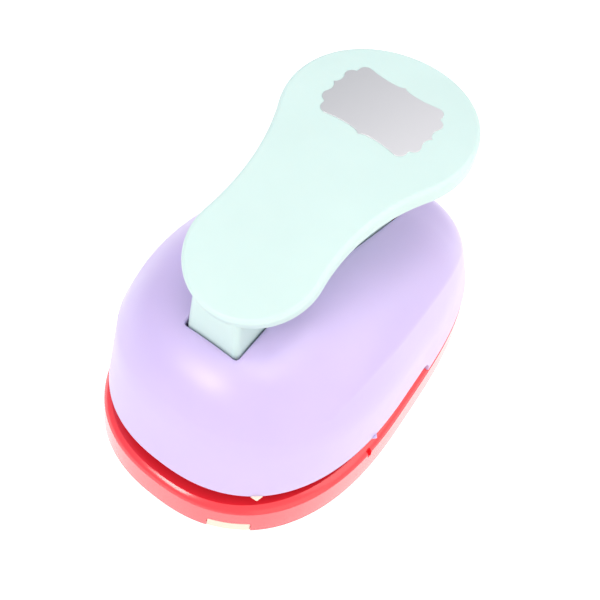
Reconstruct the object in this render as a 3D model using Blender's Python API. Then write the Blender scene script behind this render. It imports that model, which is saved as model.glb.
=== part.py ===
"""Lever-action craft punch, modelled as an assembly of separate pieces.

Dimensions are in millimetres and become metres where a mesh is made. The origin is on the table under the
middle of the body, +Z is up, -Y is the front, where the paper goes in, and +Y is the lever's wide end.
"""

import math

import bmesh
import bpy
from mathutils import Matrix, Vector

MM = 0.001
GAP = 0.3

# Plan outline of the body: an oval that is a little rounder and wider at the front.
BODY_HALF_LENGTH = 57.0
BODY_HALF_WIDTH = 35.5
FRONT_ROUNDNESS = 2.35
REAR_ROUNDNESS = 3.4
BODY_TAPER = 0.16
OUTLINE_POINTS = 72
LEVEL = (0.0, 0.0)

# Base tray. Pairs are how far outside the body's oval an edge lies, across and along.
FOOT = (0.9, 1.8)
LIP_OUTER = (0.5, 1.8)
LIP_INNER = (-1.5, 0.3)
LIP_BOTTOM = 8.2
LIP_CROWN = 0.25
DECK_TOP = 10.0
DECK_UNDER = 6.8
BASE_WALL = 2.4
NOTCH_LEFT, NOTCH_RIGHT = 13.5, 24.3
NOTCH_HEIGHT = 3.8
LIP_MARK_Y = -16.3

# Housing
WALL = 2.2
BOSS_SKIN = 0.7
FRONT_EDGE = 15.0
REAR_EDGE = DECK_TOP + GAP
THROAT_END = 11.0
THROAT_CORNER = 3.2
CREASE_HEIGHT = 30.3
SIDE_INSET, FRONT_INSET, REAR_INSET = 1.0, 3.1, 5.3
DOME_RISE = 15.2
DOME_POWER = 9.5
DOME_SLOPE = -0.09
SLOT_HALF_WIDTH = 8.0
SLOT_FRONT = -40.4
SLOT_REAR = 29.0
POINTER_ANGLES = (-66.0, -24.0, -156.0)

# Cutting tool, centred in front of the body's middle
TOOL_Y = -15.5
SHAPE_HALF_WIDTH = 24.6
SHAPE_HALF_HEIGHT = 17.2
CUT_CLEARANCE = 0.3
DIE_TOP = 10.9
DIE_THICKNESS = 2.3
PAPER_GAP = 2.6
GUIDE_BOTTOM = DIE_TOP + PAPER_GAP
GUIDE_THICKNESS = 2.0
GUIDE_TOP = GUIDE_BOTTOM + GUIDE_THICKNESS
PLATE_HALF_WIDTH = 31.0
PLATE_FRONT = -46.5
PLATE_REAR = 14.5
PUNCH_BOTTOM = GUIDE_BOTTOM + 0.4
PUNCH_HEIGHT = 11.0
CARRIER_BOTTOM = PUNCH_BOTTOM + PUNCH_HEIGHT + GAP
CARRIER_THICKNESS = 4.5
CARRIER_TOP = CARRIER_BOTTOM + CARRIER_THICKNESS
WEAR_BOTTOM = CARRIER_TOP + GAP
WEAR_THICKNESS = 1.2
WEAR_TOP = WEAR_BOTTOM + WEAR_THICKNESS
POST_X, POST_Y = 27.5, 9.0
POST_RADIUS = 1.6
POST_HEAD_RADIUS = 2.7
SPRING_INNER, SPRING_OUTER = 2.0, 2.9

# Lever: a paddle bent to a large radius, on a hollow box-shaped stem that ends in a nose
PIVOT_Y, PIVOT_Z = -34.4, 37.5
PIN_RADIUS = 2.5
CHEEK_RADIUS, CHEEK_THICKNESS = 5.6, 3.5
NOSE_Y = -15.0
NOSE_RADIUS = 3.0
PADDLE_TOP = 75.2
PADDLE_TILT = math.radians(10.9)
PADDLE_BEND = 1 / 189.0
PADDLE_THICKNESS = 3.6
LARGE_CENTRE, LARGE_RADIUS = 20.7, 24.3
SMALL_CENTRE, SMALL_RADIUS = -26.9, 16.8
NECK_RADIUS = 59.0
STEM_HALF_WIDTH = 7.4
STEM_FRONT = -40.0
STEM_WALL = 2.0
LABEL_CENTRE = 22.9
LABEL_HALF_WIDTH = 14.9
LABEL_HALF_HEIGHT = 10.1
LABEL_THICKNESS = 0.6

# Fasteners
HOUSING_SCREWS = ((-24.0, 24.0), (24.0, 24.0), (-15.0, 42.0), (15.0, 42.0))
HOLE_RADIUS = 1.55
TOOL_SCREW_X, TOOL_SCREW_Y = 22.0, 10.6
FRONT_SCREW_X, FRONT_SCREW_Y = 17.0, -40.6
CARRIER_SCREW_X = 15.0


def clear_scene():
    for obj in list(bpy.data.objects):
        bpy.data.objects.remove(obj, do_unlink=True)


def make_material(name, colour, roughness, metallic=0.0):
    material = bpy.data.materials.new(name)
    material.use_nodes = True
    shader = material.node_tree.nodes["Principled BSDF"]
    shader.inputs["Base Color"].default_value = (*colour, 1.0)
    shader.inputs["Roughness"].default_value = roughness
    shader.inputs["Metallic"].default_value = metallic
    return material


def add_object(name, mesh_data, material=None, origin=(0.0, 0.0, 0.0)):
    """Makes a node of a bmesh in millimetres, with its origin at a point given in millimetres."""
    bmesh.ops.translate(mesh_data, verts=mesh_data.verts, vec=-Vector(origin))
    bmesh.ops.scale(mesh_data, verts=mesh_data.verts, vec=(MM, MM, MM))
    bmesh.ops.recalc_face_normals(mesh_data, faces=mesh_data.faces)
    mesh = bpy.data.meshes.new(name)
    mesh_data.to_mesh(mesh)
    mesh_data.free()
    mesh.shade_smooth()
    mesh.set_sharp_from_angle(angle=math.radians(30))
    obj = bpy.data.objects.new(name, mesh)
    obj.location = Vector(origin) * MM
    bpy.context.scene.collection.objects.link(obj)
    if material:
        mesh.materials.append(material)
    return obj


def combine(target, tool_mesh, operation, label, origin=(0.0, 0.0, 0.0)):
    """Adds a Boolean of a hidden helper shape to the target, and returns the helper."""
    helper = add_object(f"{target.name}_{label}", tool_mesh, origin=origin)
    helper.hide_render = True
    helper.display_type = "WIRE"
    modifier = target.modifiers.new(label, "BOOLEAN")
    modifier.operation = operation
    modifier.solver = "EXACT"
    modifier.object = helper
    return helper


def loft(mesh_data, rings):
    """A closed solid through rings of equally many points, capped at both ends."""
    loops = [[mesh_data.verts.new(point) for point in ring] for ring in rings]
    for lower, upper in zip(loops, loops[1:]):
        for i in range(len(lower)):
            j = (i + 1) % len(lower)
            mesh_data.faces.new((lower[i], lower[j], upper[j], upper[i]))
    mesh_data.faces.new(loops[0])
    mesh_data.faces.new(loops[-1])


def prism(outline, bottom, top):
    """A solid that stands on a plan outline."""
    mesh_data = bmesh.new()
    loft(mesh_data, [[(x, y, z) for x, y in outline] for z in (bottom, top)])
    return mesh_data


def side_prism(profile, left, right):
    """A solid of a profile in Y and Z, running across in X."""
    mesh_data = bmesh.new()
    loft(mesh_data, [[(x, y, z) for y, z in profile] for x in (left, right)])
    return mesh_data


def box(low, high):
    return prism(((low[0], low[1]), (high[0], low[1]), (high[0], high[1]), (low[0], high[1])), low[2], high[2])


def turned(profile, centre, segments=20, axis="Z"):
    """A solid of revolution. The profile holds (radius, distance along the axis)."""
    mesh_data = bmesh.new()
    rings = []
    for radius, along in profile:
        angles = [2 * math.pi * k / segments for k in range(segments)]
        rings.append([(radius * math.cos(a), radius * math.sin(a), along) for a in angles])
    loft(mesh_data, rings)
    if axis == "X":
        bmesh.ops.rotate(mesh_data, verts=mesh_data.verts, matrix=Matrix.Rotation(math.pi / 2, 3, "Y"))
    bmesh.ops.translate(mesh_data, verts=mesh_data.verts, vec=centre)
    return mesh_data


def cylinder(centre, radius, bottom, top, segments=20):
    return turned(((radius, bottom), (radius, top)), (centre[0], centre[1], 0.0), segments)


def tube(centre, inner, outer, bottom, top, segments=20):
    """A plain ring with its hole right through."""
    mesh_data = bmesh.new()
    corners = ((inner, bottom), (outer, bottom), (outer, top), (inner, top))
    columns = []
    for k in range(segments):
        angle = 2 * math.pi * k / segments
        x, y = math.cos(angle), math.sin(angle)
        columns.append([mesh_data.verts.new((centre[0] + r * x, centre[1] + r * y, z)) for r, z in corners])
    for k in range(segments):
        near, far = columns[k], columns[(k + 1) % segments]
        for i in range(4):
            j = (i + 1) % 4
            mesh_data.faces.new((near[i], near[j], far[j], far[i]))
    return mesh_data


def joined(*parts):
    """One bmesh of several separate shapes, for one Boolean."""
    whole = bmesh.new()
    for part in parts:
        mesh = bpy.data.meshes.new("part")
        part.to_mesh(mesh)
        part.free()
        whole.from_mesh(mesh)
        bpy.data.meshes.remove(mesh)
    return whole


def body_point(angle, grow=(0.0, 0.0), share=1.0, lean=0.0):
    """X and Y of the body's oval at a polar angle.

    grow moves the oval outwards, across and along, share scales it, and lean, from 0 to 1, is how far up the
    housing's drafted wall it lies.
    """
    across, along = math.cos(angle), math.sin(angle)
    power = FRONT_ROUNDNESS if along < 0 else REAR_ROUNDNESS
    half_length = BODY_HALF_LENGTH + grow[1] - lean * (FRONT_INSET if along < 0 else REAR_INSET)
    half_width = BODY_HALF_WIDTH + grow[0] - lean * SIDE_INSET
    reach = (abs(across / half_width) ** power + abs(along / half_length) ** power) ** (-1 / power)
    y = share * reach * along
    x = share * reach * across * (1 - BODY_TAPER * y / half_length)
    return x, y


def body_ring(grow, height, share=1.0, lean=0.0, slope=0.0):
    """The body's oval as a ring of points, level or with a slope along Y."""
    points = []
    for k in range(OUTLINE_POINTS):
        x, y = body_point(2 * math.pi * k / OUTLINE_POINTS, grow, share, lean)
        points.append((x, y, height + slope * y))
    return points


def inside(edge, thickness):
    """An edge moved inwards both ways."""
    return edge[0] - thickness, edge[1] - thickness


def dome_height(share):
    """Height of the housing's top at a share of the way out from its middle, before the slope."""
    return CREASE_HEIGHT + DOME_RISE * (1 - share**DOME_POWER)


def dome_surface(x, y):
    """Height of the housing's top over a point."""
    power = FRONT_ROUNDNESS if y < 0 else REAR_ROUNDNESS
    half_length = BODY_HALF_LENGTH - (FRONT_INSET if y < 0 else REAR_INSET)
    half_width = (BODY_HALF_WIDTH - SIDE_INSET) * (1 - BODY_TAPER * y / half_length)
    share = (abs(x / half_width) ** power + abs(y / half_length) ** power) ** (1 / power)
    return dome_height(share) + DOME_SLOPE * y


def plaque_outline(half_width, half_height, centre_y=0.0):
    """A bracket label: a point in the middle of each side, and two round lobes at each corner."""
    quarter = []
    lobe = 0.19 * half_height
    side_lobe = Vector((half_width * 0.825, half_height * 0.52))
    end_lobe = Vector((half_width * 0.655, half_height * 0.775))
    quarter.append(Vector((half_width, 0.0)))
    quarter.append(Vector((half_width * 0.955, half_height * 0.16)))
    quarter.append(Vector((half_width * 0.925, half_height * 0.30)))
    for degrees in (-20, 15, 50, 85):
        turn = math.radians(degrees)
        quarter.append(side_lobe + 1.35 * lobe * Vector((math.cos(turn), math.sin(turn))))
    for degrees in (0, 35, 70, 105):
        turn = math.radians(degrees)
        quarter.append(end_lobe + 1.25 * lobe * Vector((math.cos(turn), math.sin(turn))))
    quarter.append(Vector((half_width * 0.40, half_height * 0.93)))
    quarter.append(Vector((half_width * 0.18, half_height * 0.945)))
    points = [(p.x, p.y) for p in quarter]
    points.append((0.0, half_height))
    points += [(-p.x, p.y) for p in reversed(quarter)]
    points += [(-p.x, -p.y) for p in quarter[1:]]
    points.append((0.0, -half_height))
    points += [(p.x, -p.y) for p in reversed(quarter[1:])]
    return [(x, y + centre_y) for x, y in points]


def arc(centre, radius, start, end, steps):
    """Points on a circle's arc, in degrees, both ends included."""
    points = []
    for k in range(steps + 1):
        turn = math.radians(start + (end - start) * k / steps)
        points.append((centre[0] + radius * math.cos(turn), centre[1] + radius * math.sin(turn)))
    return points


def rounded_rectangle(half_width, front, rear, corner, steps=5):
    points = []
    near, far = front + corner, rear - corner
    for side, y, start in ((1, far, 0), (-1, far, 90), (-1, near, 180), (1, near, 270)):
        points += arc((side * (half_width - corner), y), corner, start, start + 90, steps)
    return points


def paddle_outline(grow=0.0):
    """The lever seen from above: a large and a small circle joined by two hollow necks."""
    large, small = LARGE_RADIUS + grow, SMALL_RADIUS + grow
    neck = NECK_RADIUS - grow
    span = LARGE_CENTRE - SMALL_CENTRE
    along = ((small + neck) ** 2 - (large + neck) ** 2 + span**2) / (2 * span)
    across = math.sqrt((small + neck) ** 2 - along**2)
    neck_centre = Vector((across, SMALL_CENTRE + along))
    to_small = math.degrees(math.atan2(along, across))
    to_large = math.degrees(math.atan2(span - along, across))
    right = arc((0.0, SMALL_CENTRE), small, -90, to_small, 10)
    right += arc(neck_centre, neck, 180 + to_small, 180 - to_large, 9)[1:-1]
    right += arc((0.0, LARGE_CENTRE), large, -to_large, 90, 14)
    left = [(-x, y) for x, y in reversed(right[1:-1])]
    return right + left


def on_paddle(along, above=0.0):
    """Y and Z of a point at a distance along the lever's curved top face and a height above it."""
    slope = PADDLE_TILT - PADDLE_BEND * along
    y = (math.sin(PADDLE_TILT) - math.sin(slope)) / PADDLE_BEND
    z = PADDLE_TOP + (math.cos(slope) - math.cos(PADDLE_TILT)) / PADDLE_BEND
    return y - above * math.sin(slope), z + above * math.cos(slope)


def underside(along):
    """Y and Z of the paddle's underside at a distance along it."""
    return on_paddle(along, -PADDLE_THICKNESS)


def slice_along(mesh_data, step):
    """Cuts across a flat shape at equal steps along Y, so that it can bend."""
    lowest = min(v.co.y for v in mesh_data.verts)
    highest = max(v.co.y for v in mesh_data.verts)
    for k in range(1, int((highest - lowest) / step)):
        geometry = mesh_data.verts[:] + mesh_data.edges[:] + mesh_data.faces[:]
        place = (0.0, lowest + k * step, 0.0)
        bmesh.ops.bisect_plane(mesh_data, geom=geometry, dist=0.01, plane_co=place, plane_no=(0, 1, 0))


def bent_plate(outline, bottom, top, step):
    """A plate of an outline, bent to the lever's curve. bottom and top are heights over its top face."""
    mesh_data = prism(outline, bottom, top)
    slice_along(mesh_data, step)
    for vertex in mesh_data.verts:
        x, along, above = vertex.co
        vertex.co = (x, *on_paddle(along, above))
    return mesh_data


def screw(name, centre, head_radius, head, shank_radius, tip, material):
    """A screw on a vertical axis. head holds the heights of the drive's face and of the seat."""
    face, seat = head
    profile = ((head_radius, face), (head_radius, seat), (shank_radius, seat), (shank_radius, tip))
    obj = add_object(name, turned(profile, (*centre, 0.0), 16), material)
    inwards = math.copysign(1.0, seat - face)
    drive = cylinder(centre, head_radius * 0.45, face - 0.5 * inwards, face + 1.0 * inwards, segments=6)
    combine(obj, drive, "DIFFERENCE", "drive")
    return obj


def build_base(red):
    """The tray that everything is screwed to, with a rounded lip, a thumb notch and marks in the lip."""
    rings = [body_ring(FOOT, 0.0), body_ring(LIP_OUTER, LIP_BOTTOM)]
    for share in (0.35, 0.7):
        crown = LIP_CROWN * math.sin(math.pi * share)
        grow = [outer + (inner - outer) * share + crown for outer, inner in zip(LIP_OUTER, LIP_INNER)]
        rings.append(body_ring(grow, LIP_BOTTOM + (DECK_TOP - LIP_BOTTOM) * share + crown))
    rings.append(body_ring(LIP_INNER, DECK_TOP))
    solid = bmesh.new()
    loft(solid, rings)
    base = add_object("base", solid, red)
    hollow = bmesh.new()
    loft(hollow, [body_ring(inside(FOOT, BASE_WALL), z) for z in (-2.0, DECK_UNDER)])
    combine(base, hollow, "DIFFERENCE", "hollow")

    bosses = [cylinder(place, 4.2, 3.3, DECK_UNDER + 1.0, 16) for place in HOUSING_SCREWS]
    for side in (-1, 1):
        bosses.append(cylinder((side * TOOL_SCREW_X, TOOL_SCREW_Y), 3.2, 3.8, DECK_UNDER + 1.0, 16))
    combine(base, joined(*bosses), "UNION", "bosses")

    recess = prism(plate_outline(GAP), DIE_TOP - DIE_THICKNESS - GAP, DECK_TOP + 2.0)
    combine(base, recess, "DIFFERENCE", "die_recess")
    chute = plaque_outline(SHAPE_HALF_WIDTH + 1.4, SHAPE_HALF_HEIGHT + 1.4, TOOL_Y)
    cuts = [prism(chute, DECK_UNDER - 1.0, DECK_TOP)]
    for place in HOUSING_SCREWS:
        profile = ((3.0, 2.0), (3.0, 6.5), (1.7, 6.5), (1.7, DECK_TOP + 1.0))
        cuts.append(turned(profile, (*place, 0.0), 16))
    for side in (-1, 1):
        tool_place = (side * TOOL_SCREW_X, TOOL_SCREW_Y)
        front_place = (side * FRONT_SCREW_X, FRONT_SCREW_Y)
        cuts.append(cylinder(tool_place, HOLE_RADIUS, 4.8, DECK_TOP + 1.0, 16))
        cuts.append(cylinder(front_place, HOLE_RADIUS, DECK_UNDER - 1.0, DECK_TOP, 16))
    combine(base, joined(*cuts), "DIFFERENCE", "holes")

    marks = [box((NOTCH_LEFT, -70.0, -1.0), (NOTCH_RIGHT, -44.0, NOTCH_HEIGHT))]
    for side in (-1, 1):
        low, high = sorted((side * (BODY_HALF_WIDTH + 0.4), side * (BODY_HALF_WIDTH + 4.0)))
        marks.append(box((low, LIP_MARK_Y - 0.9, DECK_TOP - 2.4), (high, LIP_MARK_Y + 0.9, DECK_TOP + 1.0)))
    combine(base, joined(*marks), "DIFFERENCE", "notches")
    return base


def build_chip_tray(cream):
    """A shallow tray inside the base's wall, with a tab that fills the wall's notch."""
    rim = inside(FOOT, BASE_WALL + 0.4)
    solid = bmesh.new()
    loft(solid, [body_ring(rim, 0.5), body_ring(rim, 2.9)])
    tray = add_object("chip_tray", solid, cream)
    tab = bmesh.new()
    loft(tab, [body_ring(inside(FOOT, 0.2), z) for z in (0.5, NOTCH_HEIGHT - GAP)])
    helper = combine(tray, tab, "UNION", "tab")
    bounds = box((NOTCH_LEFT + GAP, -70.0, 0.0), (NOTCH_RIGHT - GAP, -46.5, NOTCH_HEIGHT + 1.0))
    combine(helper, bounds, "INTERSECT", "bounds")
    hollow = bmesh.new()
    loft(hollow, [body_ring(inside(rim, 1.4), z) for z in (1.8, 6.0)])
    combine(tray, hollow, "DIFFERENCE", "hollow")
    return tray


def plate_outline(grow=0.0):
    """The tool plates: as wide as the body allows, straight across at the back."""
    half_length = BODY_HALF_LENGTH - WALL - 3.2 + grow
    half_width = BODY_HALF_WIDTH - WALL - 3.2 + grow
    widest = PLATE_HALF_WIDTH + grow
    points = [(widest, PLATE_REAR + grow), (-widest, PLATE_REAR + grow)]
    front = PLATE_FRONT - grow
    left = []
    steps = 9
    for k in range(steps + 1):
        y = -14.0 + (front + 14.0) * k / steps
        reach = (1 - abs(y / half_length) ** FRONT_ROUNDNESS) ** (1 / FRONT_ROUNDNESS)
        x = min(widest, half_width * reach * (1 - BODY_TAPER * y / half_length))
        left.append((-x, y))
    points += left
    points += [(-x, y) for x, y in reversed(left)]
    return points


def build_tool_plates(steel):
    """Die plate, guide plate and the spacer bar that keeps them apart behind the paper."""
    hole = plaque_outline(SHAPE_HALF_WIDTH + CUT_CLEARANCE, SHAPE_HALF_HEIGHT + CUT_CLEARANCE, TOOL_Y)
    die_bottom = DIE_TOP - DIE_THICKNESS
    tool_places = [(side * TOOL_SCREW_X, TOOL_SCREW_Y) for side in (-1, 1)]
    front_places = [(side * FRONT_SCREW_X, FRONT_SCREW_Y) for side in (-1, 1)]
    die = add_object("die_plate", prism(plate_outline(), die_bottom, DIE_TOP), steel)
    cuts = [prism(hole, die_bottom - 1.0, DIE_TOP + 1.0)]
    for place in tool_places + front_places:
        cuts.append(cylinder(place, HOLE_RADIUS, die_bottom - 1.0, DIE_TOP + 1.0, 16))
    combine(die, joined(*cuts), "DIFFERENCE", "holes")

    spacer_box = box((-29.0, 7.6, DIE_TOP + GAP), (29.0, 13.6, GUIDE_BOTTOM - GAP))
    spacer = add_object("throat_spacer", spacer_box, steel)
    cuts = [cylinder(place, HOLE_RADIUS, DIE_TOP - 1.0, GUIDE_BOTTOM + 1.0, 16) for place in tool_places]
    combine(spacer, joined(*cuts), "DIFFERENCE", "holes")

    guide = add_object("guide_plate", prism(plate_outline(), GUIDE_BOTTOM, GUIDE_TOP), steel)
    below, above = GUIDE_BOTTOM - 1.0, GUIDE_TOP + 1.0
    cuts = [prism(hole, below, above)]
    cuts += [cylinder(place, HOLE_RADIUS, below, above, 16) for place in tool_places]
    cuts += [cylinder(place, POST_RADIUS + GAP, below, above, 16) for place in post_places()]
    seat = GUIDE_BOTTOM + 1.3
    for place in front_places:
        profile = ((2.5, below), (2.5, seat), (HOLE_RADIUS, seat), (HOLE_RADIUS, above))
        cuts.append(turned(profile, (*place, 0.0), 16))
    combine(guide, joined(*cuts), "DIFFERENCE", "holes")


def post_places():
    return [(side * POST_X, TOOL_Y + end * POST_Y) for end in (-1, 1) for side in (-1, 1)]


def build_posts_and_springs(steel, spring_steel):
    names = ("front_left", "front_right", "rear_left", "rear_right")
    head_bottom = CARRIER_TOP + GAP
    head_top = head_bottom + 1.4
    for name, (x, y) in zip(names, post_places()):
        profile = (
            (POST_RADIUS, GUIDE_BOTTOM + GAP),
            (POST_RADIUS, head_bottom),
            (POST_HEAD_RADIUS, head_bottom),
            (POST_HEAD_RADIUS, head_top),
        )
        add_object(f"guide_post_{name}", turned(profile, (x, y, 0.0), 16), steel)
        spring = tube((x, y), SPRING_INNER, SPRING_OUTER, GUIDE_TOP + GAP, CARRIER_BOTTOM - GAP, 16)
        add_object(f"return_spring_{name}", spring, spring_steel)


def build_punch(steel, dark_plastic):
    """The cutter, its carrier, the wear plate on top and two screws. They all slide together."""
    top = PUNCH_BOTTOM + PUNCH_HEIGHT
    origin = (0.0, TOOL_Y, PUNCH_BOTTOM)
    places = [(side * CARRIER_SCREW_X, TOOL_Y) for side in (-1, 1)]
    shape = plaque_outline(SHAPE_HALF_WIDTH, SHAPE_HALF_HEIGHT, TOOL_Y)
    cutter = add_object("punch_block", prism(shape, PUNCH_BOTTOM, top), steel, origin)
    cuts = [cylinder(place, HOLE_RADIUS, top - 7.0, top + 1.0, 16) for place in places]
    combine(cutter, joined(*cuts), "DIFFERENCE", "threads", origin)

    plan = rounded_rectangle(31.0, TOOL_Y - 18.0, TOOL_Y + 18.0, 10.0)
    carrier = add_object("punch_carrier", prism(plan, CARRIER_BOTTOM, CARRIER_TOP), dark_plastic, origin)
    below, above = CARRIER_BOTTOM - 1.0, CARRIER_TOP + 1.0
    seat = CARRIER_TOP - 2.0
    cuts = [cylinder(place, POST_RADIUS + GAP, below, above, 16) for place in post_places()]
    for place in places:
        profile = ((HOLE_RADIUS, below), (HOLE_RADIUS, seat), (3.0, seat), (3.0, above))
        cuts.append(turned(profile, (*place, 0.0), 16))
    combine(carrier, joined(*cuts), "DIFFERENCE", "holes", origin)
    for name, place in zip(("left", "right"), places):
        head = (CARRIER_TOP + 0.2, CARRIER_TOP - 1.6)
        screw(f"carrier_screw_{name}", place, 2.6, head, 1.25, top - 6.0, steel)

    strip = rounded_rectangle(8.0, NOSE_Y - 10.0, NOSE_Y + 8.0, 1.5, 3)
    add_object("wear_plate", prism(strip, WEAR_BOTTOM, WEAR_TOP), steel, origin)


def build_lever(mint, silver):
    pivot = (0.0, PIVOT_Y, PIVOT_Z)
    lever = add_object("lever", bent_plate(paddle_outline(), -PADDLE_THICKNESS, 0.0, 5.0), mint, pivot)
    rim = lever.modifiers.new("rim", "BEVEL")
    rim.width = 1.1 * MM
    rim.segments = 3
    rim.limit_method = "ANGLE"
    rim.angle_limit = math.radians(60)
    seat = plaque_outline(LABEL_HALF_WIDTH + GAP, LABEL_HALF_HEIGHT + GAP, LABEL_CENTRE)
    combine(lever, bent_plate(seat, -LABEL_THICKNESS - GAP, 1.5, 5.0), "DIFFERENCE", "label_seat", pivot)

    nose_bottom = WEAR_TOP + GAP
    ceiling = [underside(along) for along in (-40.0, -30.0, -20.0, -10.0, 0.0, 10.0, 20.0, 27.0)]
    roof = [(y, z + 1.5) for y, z in ceiling if y > STEM_FRONT + 2.0]
    heel = arc((PIVOT_Y, PIVOT_Z), PIVOT_Y - STEM_FRONT, 180, 290, 6)
    toe = arc((NOSE_Y, nose_bottom + NOSE_RADIUS), NOSE_RADIUS, 230, 340, 6)
    rear_top = (ceiling[-1][0] + 3.0, ceiling[-1][1] + 1.0)
    front_top = (STEM_FRONT, ceiling[0][1] + 1.2)
    profile = heel + toe + [rear_top] + list(reversed(roof)) + [front_top]
    stem = combine(lever, side_prism(profile, -20.0, 20.0), "UNION", "stem", pivot)
    plan = rounded_rectangle(STEM_HALF_WIDTH, STEM_FRONT, 60.0, 1.2, 4)
    combine(stem, prism(plan, 20.0, 90.0), "INTERSECT", "plan", pivot)

    inner = STEM_HALF_WIDTH - STEM_WALL
    rear_roof = [(y, z - 0.6) for y, z in (underside(along) for along in (-8.0, 0.0, 10.0, 20.0))]
    front_roof = [(y, z - 0.6) for y, z in (underside(along) for along in (-28.0, -22.0))]
    rear_pocket = [(NOSE_Y + 4.5, 30.0), (NOSE_Y + 4.5, rear_roof[0][1])] + rear_roof[1:]
    rear_pocket += [(45.0, rear_roof[-1][1]), (45.0, 30.0)]
    front_pocket = [(PIVOT_Y + 6.5, 28.0), (PIVOT_Y + 6.5, front_roof[0][1])]
    front_pocket += [(NOSE_Y - 4.5, front_roof[1][1]), (NOSE_Y - 4.5, 28.0)]
    pin_hole = turned(((PIN_RADIUS + GAP, -20.0), (PIN_RADIUS + GAP, 20.0)), pivot, 24, "X")
    cuts = [side_prism(rear_pocket, -inner, inner), side_prism(front_pocket, -inner, inner), pin_hole]
    combine(lever, joined(*cuts), "DIFFERENCE", "hollow", pivot)

    plaque = plaque_outline(LABEL_HALF_WIDTH, LABEL_HALF_HEIGHT, LABEL_CENTRE)
    add_object("lever_label", bent_plate(plaque, -LABEL_THICKNESS, 0.0, 5.0), silver, pivot)


def build_pivot(steel):
    groove_start, groove_end, pin_end = 11.7, 12.9, 13.6
    profile = [
        (PIN_RADIUS - 0.3, -pin_end),
        (PIN_RADIUS, -pin_end + 0.3),
        (PIN_RADIUS, -groove_end),
        (1.9, -groove_end),
        (1.9, -groove_start),
        (PIN_RADIUS, -groove_start),
    ]
    profile += [(radius, -along) for radius, along in reversed(profile)]
    add_object("pivot_pin", turned(profile, (0.0, PIVOT_Y, PIVOT_Z), 24, "X"), steel)
    for name, side in (("left", -1), ("right", 1)):
        ring = arc((0.0, 0.0), 4.2, -60, 240, 14) + arc((0.0, 0.0), 2.2, 240, -60, 14)
        low, high = sorted((side * 11.9, side * 12.7))
        profile = [(PIVOT_Y + x, PIVOT_Z + y) for x, y in ring]
        add_object(f"pivot_clip_{name}", side_prism(profile, low, high), steel)


def boss_top(place, radius):
    """Height at which a boss ends, inside the housing's skin all the way round."""
    rim = arc(place, radius, 0, 330, 11)
    return min(dome_surface(x, y) for x, y in rim) - BOSS_SKIN


def build_housing(lavender):
    shares = (0.985, 0.96, 0.92, 0.86, 0.78, 0.68, 0.55, 0.38, 0.18)
    rings = [body_ring(LEVEL, REAR_EDGE), body_ring(LEVEL, CREASE_HEIGHT, 1.0, 1.0, DOME_SLOPE)]
    rings += [body_ring(LEVEL, dome_height(share), share, 1.0, DOME_SLOPE) for share in shares]
    solid = bmesh.new()
    loft(solid, rings)
    housing = add_object("housing", solid, lavender)
    room = bmesh.new()
    skin = inside(LEVEL, WALL)
    rings = [body_ring(skin, REAR_EDGE - 2.0), body_ring(skin, CREASE_HEIGHT - 0.5, 1.0, 1.0, DOME_SLOPE)]
    rings += [body_ring(skin, dome_height(share) - WALL, share, 1.0, DOME_SLOPE) for share in shares[1::2]]
    loft(room, rings)
    combine(housing, room, "DIFFERENCE", "room")

    cheek_top = dome_surface(SLOT_HALF_WIDTH + CHEEK_THICKNESS, PIVOT_Y - CHEEK_RADIUS) - BOSS_SKIN
    bosses = []
    for side in (-1, 1):
        profile = arc((PIVOT_Y, PIVOT_Z), CHEEK_RADIUS, 180, 360, 8)
        profile += [(PIVOT_Y + CHEEK_RADIUS, cheek_top), (PIVOT_Y - CHEEK_RADIUS, cheek_top)]
        low, high = sorted((side * SLOT_HALF_WIDTH, side * (SLOT_HALF_WIDTH + CHEEK_THICKNESS)))
        bosses.append(side_prism(profile, low, high))
        place = (side * FRONT_SCREW_X, FRONT_SCREW_Y)
        bosses.append(cylinder(place, 3.2, GUIDE_TOP + GAP, boss_top(place, 3.2), 16))
    for place in HOUSING_SCREWS:
        bosses.append(cylinder(place, 3.8, REAR_EDGE, boss_top(place, 3.8), 16))
    combine(housing, joined(*bosses), "UNION", "bosses")

    corner = arc((THROAT_END - THROAT_CORNER, FRONT_EDGE - THROAT_CORNER), THROAT_CORNER, 0, 90, 5)
    throat = [(-70.0, 0.0), (THROAT_END, 0.0)] + corner + [(-70.0, FRONT_EDGE)]
    slot = box((-SLOT_HALF_WIDTH, SLOT_FRONT, 31.0), (SLOT_HALF_WIDTH, SLOT_REAR, 70.0))
    cuts = [side_prism(throat, -60.0, 60.0), slot]
    for place in HOUSING_SCREWS:
        cuts.append(cylinder(place, 1.7, REAR_EDGE - 1.0, 24.0, 16))
    for side in (-1, 1):
        place = (side * FRONT_SCREW_X, FRONT_SCREW_Y)
        cuts.append(cylinder(place, HOLE_RADIUS, GUIDE_TOP - 1.0, 26.0, 16))
    combine(housing, joined(*cuts), "DIFFERENCE", "openings")
    bore = turned(((PIN_RADIUS + GAP, -20.0), (PIN_RADIUS + GAP, 20.0)), (0.0, PIVOT_Y, PIVOT_Z), 24, "X")
    combine(housing, bore, "DIFFERENCE", "pin_bore")

    pointers = [pointer(math.radians(angle)) for angle in POINTER_ANGLES]
    combine(housing, joined(*pointers), "UNION", "pointers")
    return housing


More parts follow.
